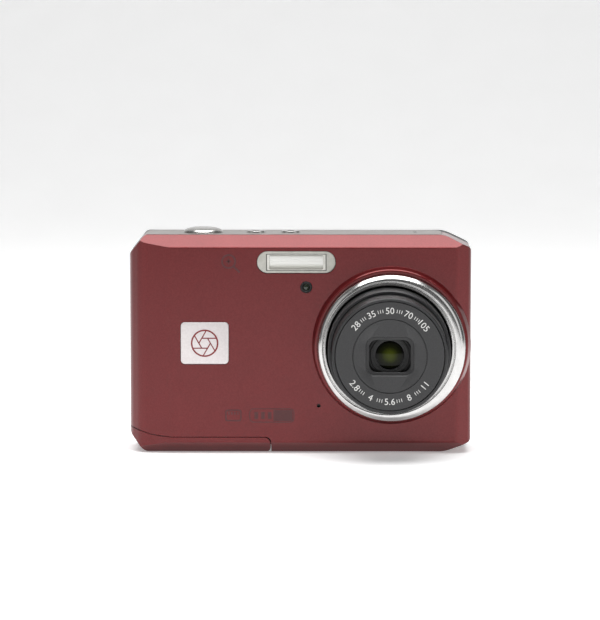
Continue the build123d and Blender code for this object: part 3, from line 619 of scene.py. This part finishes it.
def makeFlash():
    low, high, middle = boxOf("flash_window")
    wide, tall = (high.x - low.x) / mm, (high.z - low.z) / mm
    face, back = low.y / mm, high.y / mm
    innerWide, innerTall, corner = flash["inner"]
    round0 = tall / 2 - 0.06
    bm = bmesh.new()
    loops = [squareLoop(bm, wide, tall, round0, back, middle, 64),
             squareLoop(bm, wide, tall, round0, face + flash["cap"], middle, 64),
             squareLoop(bm, wide - 0.2, tall - 0.2, round0 - 0.1, face + 0.07, middle, 64),
             squareLoop(bm, wide - 0.5, tall - 0.5, round0 - 0.25, face, middle, 64),
             squareLoop(bm, innerWide + 1.5, innerTall + 0.5, corner + 0.2, face + 0.04, middle, 64),
             squareLoop(bm, innerWide + 1.3, innerTall + 0.3, corner + 0.1, face + 0.2, middle, 64),
             squareLoop(bm, innerWide + 1.3, innerTall + 0.3, corner + 0.1, back - 0.1, middle, 64)]
    loops.append(loops[0])
    bridgeAll(bm, loops)
    finishPiece(bm, "flashWindowCap", root, "flashCap", ["flash_window"], 35)
    # a frame of clear plastic round the ribs, its pale colour a painted highlight
    bm = bmesh.new()
    edgeSteps = ((0.28, 0.9), (0.28, 0.1), (0.18, 0.01), (-0.12, 0.03), (-0.2, 0.12), (-0.2, 0.85))
    loops = []
    for grow, y in edgeSteps:
        endGrow = grow * flash["endGrow"] if grow > 0 else grow
        loops.append(squareLoop(bm, innerWide + endGrow, innerTall + grow, corner, face + y, middle, 32))
    loops.append(loops[0])
    bridgeAll(bm, loops)
    finishPiece(bm, "flashWindowFrame", root, "flashFrame")
    # horizontal prisms that spread the light
    bm = bmesh.new()
    pitch = (innerTall - 0.25) / flash["ribs"]
    bottom = middle.z / mm - (innerTall - 0.25) / 2
    half = (innerWide - 0.2) / 2 * mm
    points = []
    for i in range(flash["ribs"]):
        z = bottom + i * pitch
        points += [(face + 0.42, z), (face + 0.42 - flash["ribDeep"], z + pitch * 0.35)]
    points += [(face + 0.42, bottom + flash["ribs"] * pitch), (face + 1.0, bottom + flash["ribs"] * pitch),
               (face + 1.0, bottom)]
    verts = [bm.verts.new((middle.x - half, y * mm, z * mm)) for y, z in points]
    end = bm.faces.new(verts)
    thick = bmesh.ops.extrude_face_region(bm, geom=[end])
    bmesh.ops.translate(bm, verts=[g for g in thick["geom"] if isinstance(g, bmesh.types.BMVert)],
                        vec=(2 * half, 0, 0))
    finishPiece(bm, "flashPrisms", root, "flashPrisms", smoothDegrees=20)
    # the window's seams, drawn as fine dark lines of painted shade
    bm = bmesh.new()
    y = low.y + 0.035 * mm
    for side in (-1, 1):
        bar(bm, (0.16, 0.03, innerTall + 0.5), (middle.x + side * (innerWide / 2 + 0.72) * mm, y, middle.z))
        bar(bm, (innerWide + 1.4, 0.03, 0.13), (middle.x, y, middle.z + side * (innerTall / 2 + 0.18) * mm))
    finishPiece(bm, "flashSeamShadeLines", root, "ledge", merge=False)


lamp = {"ring": 1.5, "glass": 0.92, "deep": 1.2}


def makeLamp():
    # a dark bezel with a small smoked dome in it
    low, _, middle = boxOf("self_timer_lamp")
    start = Vector((middle.x, low.y, middle.z))
    bezel = [(lamp["glass"], lamp["deep"]), (lamp["glass"], 0.25), (1.05, 0.06), (1.18, 0.0), (1.4, 0.0),
             (lamp["ring"], 0.08), (lamp["ring"], lamp["deep"]), (lamp["glass"], lamp["deep"])]
    finishPiece(turned(bezel, start, rear, 48), "lampBezel", root, "mattBlack", ["self_timer_lamp"])
    dome = [(0, 0.12), (0.35, 0.15), (0.65, 0.24), (0.88, 0.4), (0.9, lamp["deep"]), (0, lamp["deep"])]
    finishPiece(turned(dome, start, rear, 48), "lampDome", root, "lampLens")


# badge and the small printed pictograms

badgeLook = {"iris": 3.5, "hub": 1.35, "blades": 6, "line": 0.3, "proud": 0.3}


def makeBadge():
    # a satin plate with a plain iris drawn in it
    low, high, middle = boxOf("badge")
    wide, tall = (high.x - low.x) / mm, (high.z - low.z) / mm
    face, back = low.y / mm, high.y / mm
    bm = bmesh.new()
    loops = [squareLoop(bm, wide, tall, 1.1, back, middle, 32),
             squareLoop(bm, wide, tall, 1.1, face + 0.2, middle, 32),
             squareLoop(bm, wide - 0.16, tall - 0.16, 1.05, face + 0.05, middle, 32),
             squareLoop(bm, wide - 0.45, tall - 0.45, 0.95, face, middle, 32)]
    bridgeAndCap(bm, loops)
    finishPiece(bm, "badgePlate", root, "badge", ["badge"], 25)
    bm = bmesh.new()
    place = Vector((middle.x, face * mm, middle.z))
    band(bm, badgeLook["iris"], badgeLook["line"] * 1.4, 0.03, place, front, 64)
    proud = Vector((0, -0.012 * mm, 0))
    length = math.sqrt(badgeLook["iris"] ** 2 - badgeLook["hub"] ** 2)
    for i in range(badgeLook["blades"]):
        turn = i * 360 / badgeLook["blades"]
        away = math.radians(turn)
        point = Vector((math.sin(away), 0, math.cos(away))) * badgeLook["hub"] * mm
        shift = Vector((math.cos(away), 0, -math.sin(away))) * (length / 2 - 0.4) * mm
        bar(bm, (length + 0.8, 0.03, badgeLook["line"]), place + point + shift + proud, turn)
    finishPiece(bm, "badgeIris", root, "inkRed", merge=False)


def frontY():
    # the flat of the casing's front, which the badge stands a little proud of
    return boxOf("badge")[0].y + badgeLook["proud"] * mm


marks = {"glassFromFlash": (-18.2, 0.2), "cardFromDoor": (-10.0, 5.4), "pillFromDoor": (0.4, 5.4)}


def makeFrontMarks():
    # a magnifier, a card and a film pill, in ink a little darker than the casing
    bm = bmesh.new()
    y = frontY() - 0.006 * mm
    flashMiddle = boxOf("flash_window")[2]
    doorEnd = Vector((boxOf("battery_door")[1].x, 0, boxOf("door_hinge_pin")[2].z))

    def offset(start, key):
        return Vector((start.x + marks[key][0] * mm, y, start.z + marks[key][1] * mm))
    glass = offset(flashMiddle, "glassFromFlash")
    band(bm, 1.75, 0.5, 0.02, glass, front, 48)
    bar(bm, (0.55, 0.02, 2.6), glass + Vector((2.05, 0, -2.05)) * mm, -45)
    bar(bm, (1.5, 0.02, 0.4), glass)
    bar(bm, (0.4, 0.02, 1.5), glass)
    doorEnd.z += 4.0 * mm
    card = offset(doorEnd, "cardFromDoor")
    frames = [(card, 4.4, 3.2, 0.6, 0.35), (offset(doorEnd, "pillFromDoor"), 12.2, 3.9, 1.2, 0.26)]
    for middle, wide, tall, corner, line in frames:
        outer = squareLoop(bm, wide, tall, corner, y / mm, middle, 32)
        inner = squareLoop(bm, wide - 2 * line, tall - 2 * line, corner * 0.8, y / mm - 0.008, middle, 32)
        bmesh.ops.bridge_loops(bm, edges=outer + inner)
    for i in range(4):
        bar(bm, (0.35, 0.02, 0.8), card + Vector((-1.2 + i * 0.8, 0, 0.6)) * mm)
    pill = frames[1][0]
    bar(bm, (5.2, 0.02, 3.0), pill + Vector((3.0, 0, 0)) * mm)
    for i in range(3):
        bar(bm, (1.0, 0.02, 1.9), pill + Vector((-4.2 + i * 1.8, 0, 0)) * mm)
    finishPiece(bm, "casingPictograms", root, "inkDark", merge=False)


# top buttons

shutter = {"rim": 5.35}


def makeTopButtons():
    _, high, middle = boxOf("shutter_button")
    start = Vector((middle.x, middle.y, high.z))
    rim = shutter["rim"]
    profile = [(0, 0), (1.4, -0.02), (2.7, -0.1), (3.7, -0.26), (4.4, -0.46), (4.9, -0.7), (5.2, -0.95),
               (rim - 0.02, -1.15), (rim, -1.2), (rim - 0.2, -1.24), (rim - 0.2, -1.44), (rim, -1.48),
               (rim, -2.7), (5.84, -2.72), (5.84, -3.05), (1.2, -3.1), (1.2, -3.6), (0, -3.6)]
    finishPiece(turned(profile, start, upward), "shutterButtonCap", "shutter_button", "paleKey",
                ["shutter_button"], 30)
    for node, icon in (("power_button", "power"), ("mode_button", "mode")):
        _, high, middle = boxOf(node)
        start = Vector((middle.x, middle.y, high.z))
        profile = [(0, -0.06), (1.5, -0.05), (2.1, 0.0), (2.32, -0.05), (2.45, -0.16), (2.5, -0.34),
                   (2.5, -1.7), (2.98, -1.72), (2.98, -2.05), (1.2, -2.1), (1.2, -2.6), (0, -2.6)]
        finishPiece(turned(profile, start, upward, 64), node.replace("_button", "ButtonCap"), node, "paleKey",
                    [node], 30)
        bm = bmesh.new()
        place = start + Vector((0, 0, -0.05 * mm))
        if icon == "power":
            band(bm, 0.85, 0.22, 0.03, place, upward, 48, 35.0, 290.0)
            bar(bm, (0.22, 0.95, 0.05), place + Vector((0, 0.75, 0.01)) * mm)
        else:
            for y in (0.5, 0, -0.5):
                bar(bm, (1.7, 0.22, 0.05), place + Vector((0, y, 0.01)) * mm)
        finishPiece(bm, icon + "Icon", node, "inkCharcoal", merge=False)


makeTrimRing()
makeFrontPlate()
makeScale()
makeLensGlass()
print("lens pieces made")
makeFlash()
makeLamp()
makeBadge()
makeFrontMarks()
makeTopButtons()
print("front and top pieces made")


# rear: key caps, their icons, the pad and the rocker

rearKey = {"dish": 0.12, "flange": 0.5}


def keyCap(node, name):
    # a round key with a rolled edge and a slight dish for the fingertip
    low, high, middle = boxOf(node)
    flange = (high.x - low.x) / 2 / mm
    reach = (high.y - low.y) / mm
    cap = flange - rearKey["flange"] if node != "set_button" else flange
    start = Vector((middle.x, high.y, middle.z))
    profile = [(0, -rearKey["dish"]), (cap * 0.4, -rearKey["dish"] * 0.8), (cap * 0.75, -0.02), (cap - 0.3, 0),
               (cap - 0.1, -0.06), (cap, -0.28)]
    if node != "set_button":
        profile += [(cap, -(reach - 0.36)), (flange, -(reach - 0.34))]
    profile += [(flange, -(reach - 0.02)), (flange - 0.1, -reach), (1.7, -reach), (1.7, -reach + 0.5),
                (0, -reach + 0.5)]
    finishPiece(turned(profile, start, rear, 64), name, node, "darkKey", [node], 30)
    return start


def rearMark(shape, place, node, name, finish="inkGrey"):
    # a printed pictogram on a rear key, a hair proud of its face
    bm = bmesh.new()
    place = place + Vector((0, 0.005 * mm, 0))
    if shape == "play":
        triangle(bm, place, 1.05, -90)
    elif shape == "scene":
        band(bm, 0.95, 0.2, 0.03, place, rear, 36, 180.0, 360.0)
        bar(bm, (0.2, 0.03, 0.9), place + Vector((0, 0.01, 0.45)) * mm)
        bar(bm, (0.75, 0.03, 0.2), place + Vector((-0.3, 0.01, 0.05)) * mm)
    elif shape == "menu":
        for k in (-1, 0, 1):
            bar(bm, (1.9, 0.03, 0.25), place + Vector((0, 0, k * 0.6)) * mm)
    elif shape == "bin":
        bar(bm, (1.9, 0.03, 0.22), place + Vector((0, 0, 0.75)) * mm)
        bar(bm, (0.7, 0.03, 0.22), place + Vector((0, 0, 1.0)) * mm)
        bar(bm, (1.4, 0.03, 0.2), place + Vector((0, 0, -0.95)) * mm)
        for k in (-1, 0, 1):
            bar(bm, (0.2, 0.03, 1.6), place + Vector((k * 0.6, 0, -0.15)) * mm)
    finishPiece(bm, name, node, finish, merge=False)


def triangle(bm, place, size, turnDegrees):
    # a flat arrow head, facing the back
    made = bmesh.ops.create_circle(bm, segments=3, radius=size * mm, cap_ends=True)["verts"]
    turn = Matrix.Rotation(math.radians(turnDegrees), 4, "Y") @ Matrix.Rotation(math.radians(90), 4, "X")
    bmesh.ops.transform(bm, matrix=Matrix.Translation(place) @ turn, verts=made)
    face = [f for f in bm.faces if set(f.verts) <= set(made)]
    thick = bmesh.ops.extrude_face_region(bm, geom=face)
    bmesh.ops.translate(bm, verts=[g for g in thick["geom"] if isinstance(g, bmesh.types.BMVert)],
                        vec=(0, 0.03 * mm, 0))


pad = {"inner": 4.15, "arrowAt": 6.9, "arrow": 0.8}


def makePad():
    # a rolled ring with four arrows
    low, high, middle = boxOf("four_way_pad")
    outer = (high.x - low.x) / 2 / mm
    inner = pad["inner"]
    reach = (high.y - low.y) / mm
    start = Vector((middle.x, high.y, middle.z))
    profile = [(inner, -reach), (inner, -0.3), (inner + 0.12, -0.08), (inner + 0.45, -0.02), (6.6, -0.2),
               (8.4, -0.12), (outer - 0.6, 0), (outer - 0.2, -0.1), (outer, -0.4), (outer, -reach),
               (inner, -reach)]
    finishPiece(turned(profile, start, rear), "fourWayPadRing", "four_way_pad", "darkKey",
                ["four_way_pad"], 30)
    bm = bmesh.new()
    for i in range(4):
        away = math.radians(i * 90)
        across, along = math.sin(away) * pad["arrowAt"], math.cos(away) * pad["arrowAt"]
        place = start + Vector((across * mm, -0.19 * mm, along * mm))
        triangle(bm, place, pad["arrow"], i * 90)
    finishPiece(bm, "padArrows", "four_way_pad", "inkGrey", merge=False)


def makeRocker():
    # a waisted bar with a tree at each end, small for wide and large for far
    low, high, middle = boxOf("zoom_rocker")
    wide, tall = (high.x - low.x) / mm, (high.z - low.z) / mm
    face, back = high.y / mm, low.y / mm
    bm = bmesh.new()
    loops = []
    for shrink, y in ((0, back), (0, face - 0.4), (0.16, face - 0.14), (0.5, face - 0.02), (1.0, face)):
        loops.append(squareLoop(bm, wide - shrink, tall - shrink, 1.9 - shrink / 2, y, middle, 64))
    for shrink, y in ((2.0, face - 0.06), (3.2, face - 0.14)):
        loops.append(squareLoop(bm, wide - shrink, tall - shrink, max(0.35, 1.5 - shrink / 2), y, middle, 64))
    bridgeAndCap(bm, loops)
    finishPiece(bm, "zoomRockerBar", "zoom_rocker", "darkKey", ["zoom_rocker"], 30)
    bm = bmesh.new()
    y = high.y - 0.135 * mm
    for side, size in ((1, 0.5), (-1, 0.85)):
        place = Vector((middle.x + side * 3.9 * mm, y, middle.z))
        for k in range(2):
            triangle(bm, place + Vector((0, 0, (k * 0.62 - 0.25) * size)) * mm, size * (1 - k * 0.2), 0)
        bar(bm, (size * 0.35, 0.03, size * 0.8), place + Vector((0, 0.015, -0.9 * size)) * mm)
    finishPiece(bm, "zoomTrees", "zoom_rocker", "inkGrey", merge=False)


for node, shape, capName in (("play_button", "play", "playKey"), ("scene_button", "scene", "timerKey"),
                             ("menu_button", "menu", "menuKey"), ("delete_button", "bin", "binKey")):
    top = keyCap(node, capName)
    rearMark(shape, top + Vector((0, -rearKey["dish"] * mm, 0)), node, shape + "Mark")
setTop = keyCap("set_button", "setKey")
bm = bmesh.new()
band(bm, 1.1, 0.22, 0.03, setTop + Vector((0, (0.005 - rearKey["dish"]) * mm, 0)), rear, 40)
finishPiece(bm, "setMark", "set_button", "inkGrey", merge=False)
makePad()
makeRocker()


# sides and underside

rubberLip = {"ridges": 3, "pitch": 1.1}


def makeUsbCover():
    # a soft flap with finger ridges near its front edge
    low, high, middle = boxOf("usb_cover")
    bm = bmesh.new()
    wide, tall = (high.y - low.y) / mm, (high.z - low.z) / mm
    made = []
    for shrink, x in ((0, low.x), (0, high.x - 0.3 * mm), (0.12, high.x - 0.1 * mm),
                      (0.45, high.x - 0.02 * mm)):
        made.append(sideLoop(bm, wide - shrink, tall - shrink, 1.2 - shrink / 2, x, middle))
    bridgeAndCap(bm, made)
    finishPiece(bm, "usbCoverFlap", "usb_cover", "rubber", ["usb_cover"], 30)
    bm = bmesh.new()
    for i in range(rubberLip["ridges"]):
        place = Vector((high.x - 0.06 * mm, low.y + 1.5 * mm, middle.z + (i - 1) * rubberLip["pitch"] * mm))
        ridge = bar(bm, (0.12, 1.6, 0.4), place)
        bmesh.ops.bevel(bm, geom=[e for e in bm.edges if set(e.verts) <= set(ridge)], offset=0.05 * mm,
                        offset_type="OFFSET", affect="EDGES", segments=2, profile=0.5, material=-1)
    finishPiece(bm, "usbCoverRidges", "usb_cover", "rubber")


def sideLoop(bm, width, height, corner, x, middle):
    # a rounded rectangle facing the side
    edges = squareLoop(bm, width, height, corner, 0, Vector((0, 0, 0)), 32)
    verts = list({v for e in edges for v in e.verts})
    turn = Matrix.Rotation(math.radians(90), 4, "Z")
    bmesh.ops.transform(bm, matrix=Matrix.Translation((x, middle.y, middle.z)) @ turn, verts=verts)
    return edges


thread = {"bore": 2.6, "pitch": 1.27, "deep": 0.28, "turns": 4}


def makeThread():
    # quarter inch screw thread, seen from below as bright rings in the bore
    low, _, middle = boxOf("tripod_socket")
    bore = thread["bore"]
    bm = bmesh.new()
    start = Vector((middle.x, middle.y, low.z))
    for i in range(thread["turns"]):
        z = 0.5 + i * thread["pitch"]
        profile = [(bore + 0.02, z), (bore - thread["deep"], z + 0.5), (bore - thread["deep"], z + 0.65),
                   (bore + 0.02, z + 1.15), (bore + 0.02, z)]
        ringMesh = turned(profile, start, upward, 48)
        temp = bpy.data.meshes.new("turn")
        ringMesh.to_mesh(temp)
        ringMesh.free()
        bm.from_mesh(temp)
        bpy.data.meshes.remove(temp)
    finishPiece(bm, "tripodThread", root, "steel", smoothDegrees=25)


def makeDoorMarks():
    # a mark for the way the door slides
    low, _, middle = boxOf("battery_door")
    bm = bmesh.new()
    z = low.z + 0.004 * mm
    slideX = low.x + 12 * mm
    made = bmesh.ops.create_circle(bm, segments=3, radius=1.5 * mm, cap_ends=True)["verts"]
    turn = Matrix.Rotation(math.radians(90), 4, "Z")
    bmesh.ops.transform(bm, matrix=Matrix.Translation((slideX, middle.y, z)) @ turn, verts=made)
    bar(bm, (3.0, 0.5, 0.02), (slideX + 2.2 * mm, middle.y, z))
    finishPiece(bm, "doorSlideArrow", "battery_door", "inkGrey", merge=False)


def makeScreenFrame():
    # a fine bevelled frame round the screen
    low, high, middle = boxOf("screen_window")
    wide, tall = (high.x - low.x) / mm, (high.z - low.z) / mm
    face, back = high.y / mm, low.y / mm
    bm = bmesh.new()
    loops = []
    for shrink, y in ((0, back), (0, face - 0.12), (0.1, face - 0.03), (0.3, face)):
        loops.append(squareLoop(bm, wide - shrink, tall - shrink, 1.2, y, middle, 64))
    bridgeAndCap(bm, loops)
    finishPiece(bm, "screenCover", root, "screen", ["screen_window"], 30)


makeUsbCover()
makeThread()
makeDoorMarks()
makeScreenFrame()
print("rear, side and base pieces made")


# stage, light and camera

stageLook = {"floor": "#f4f4f4", "sizeM": 3.0, "wallM": 1.2, "cornerM": 0.5, "highM": 2.5, "glow": 0.3}


def makeStage():
    # a pale sweep: floor, a rounded corner and a wall
    bm = bmesh.new()
    half = stageLook["sizeM"] / 2
    points = [(-half, -half, 0), (-half, stageLook["wallM"] * 0.6, 0)]
    turn = 12
    radius = stageLook["cornerM"]
    for i in range(1, turn + 1):
        angle = i / turn * math.pi / 2
        y = stageLook["wallM"] * 0.6 + radius * math.sin(angle)
        points.append((-half, y, radius * (1 - math.cos(angle))))
    points.append((-half, points[-1][1], stageLook["highM"]))
    line = [bm.verts.new(p) for p in points]
    edges = [bm.edges.new(pair) for pair in zip(line, line[1:])]
    swept = bmesh.ops.extrude_edge_only(bm, edges=edges)
    moved = [g for g in swept["geom"] if isinstance(g, bmesh.types.BMVert)]
    bmesh.ops.translate(bm, verts=moved, vec=(2 * half, 0, 0))
    mesh = bpy.data.meshes.new("sweep")
    bm.to_mesh(mesh)
    bm.free()
    for polygon in mesh.polygons:
        polygon.use_smooth = True
    sweep = bpy.data.objects.new("sweep", mesh)
    bpy.context.scene.collection.objects.link(sweep)
    glow = {"IOR": 1.4, "Emission Color": (1, 1, 1, 1), "Emission Strength": stageLook["glow"]}
    mesh.materials.append(surface("paleCard", glow, "#f1f1f1", stageLook["floor"], 20.0, (0.7, 0.8), 0.001))


def softbox(name, place, aim, size, power):
    light = bpy.data.lights.new(name, "AREA")
    light.shape = "RECTANGLE"
    light.size = size[0]
    light.size_y = size[1]
    light.energy = power
    lamp = bpy.data.objects.new(name, light)
    lamp.location = place
    lamp.rotation_euler = (Vector(aim) - Vector(place)).to_track_quat("-Z", "Y").to_euler()
    bpy.context.scene.collection.objects.link(lamp)


view = {"distance": 1.0, "turnDegrees": 0.5, "tiltDegrees": 5.9,
        "aim": (0.0, -0.011, 0.03905), "wide": 0.1616}


def makeCamera():
    camera = bpy.data.cameras.new("camera")
    camera.sensor_fit = "HORIZONTAL"
    camera.lens = camera.sensor_width * view["distance"] / view["wide"]
    camera.clip_start = 0.01
    turn = math.radians(view["turnDegrees"])
    tilt = math.radians(view["tiltDegrees"])
    back = Vector((math.sin(turn) * math.cos(tilt), -math.cos(turn) * math.cos(tilt), math.sin(tilt)))
    holder = bpy.data.objects.new("camera", camera)
    holder.location = Vector(view["aim"]) + back * view["distance"]
    holder.rotation_euler = back.to_track_quat("Z", "Y").to_euler()
    bpy.context.scene.collection.objects.link(holder)
    bpy.context.scene.camera = holder


# each softbox: where it stands, what it faces, its sides and its power
lighting = {
    "topBox": ((0.0, -0.14, 0.75), (0, -0.05, 0.03), (0.72, 0.85), 9.2),
    "leftBox": ((-0.75, -0.55, 0.35), (0, 0, 0.03), (0.5, 0.8), 0.6),
    "rightBox": ((0.75, -0.45, 0.35), (0, 0, 0.03), (0.4, 0.8), 0.9),
}
roomGlow = 0.12


def makeLight():
    for name, (place, aim, size, power) in lighting.items():
        softbox(name, place, aim, size, power)
    world = bpy.data.worlds.new("studio")
    bpy.context.scene.world = world
    world.use_nodes = True
    glow = world.node_tree.nodes["Background"]
    glow.inputs["Color"].default_value = (1, 1, 1, 1)
    glow.inputs["Strength"].default_value = roomGlow


makeStage()
makeCamera()
makeLight()
bpy.context.scene.view_settings.view_transform = "Standard"
print("stage, light and camera set")
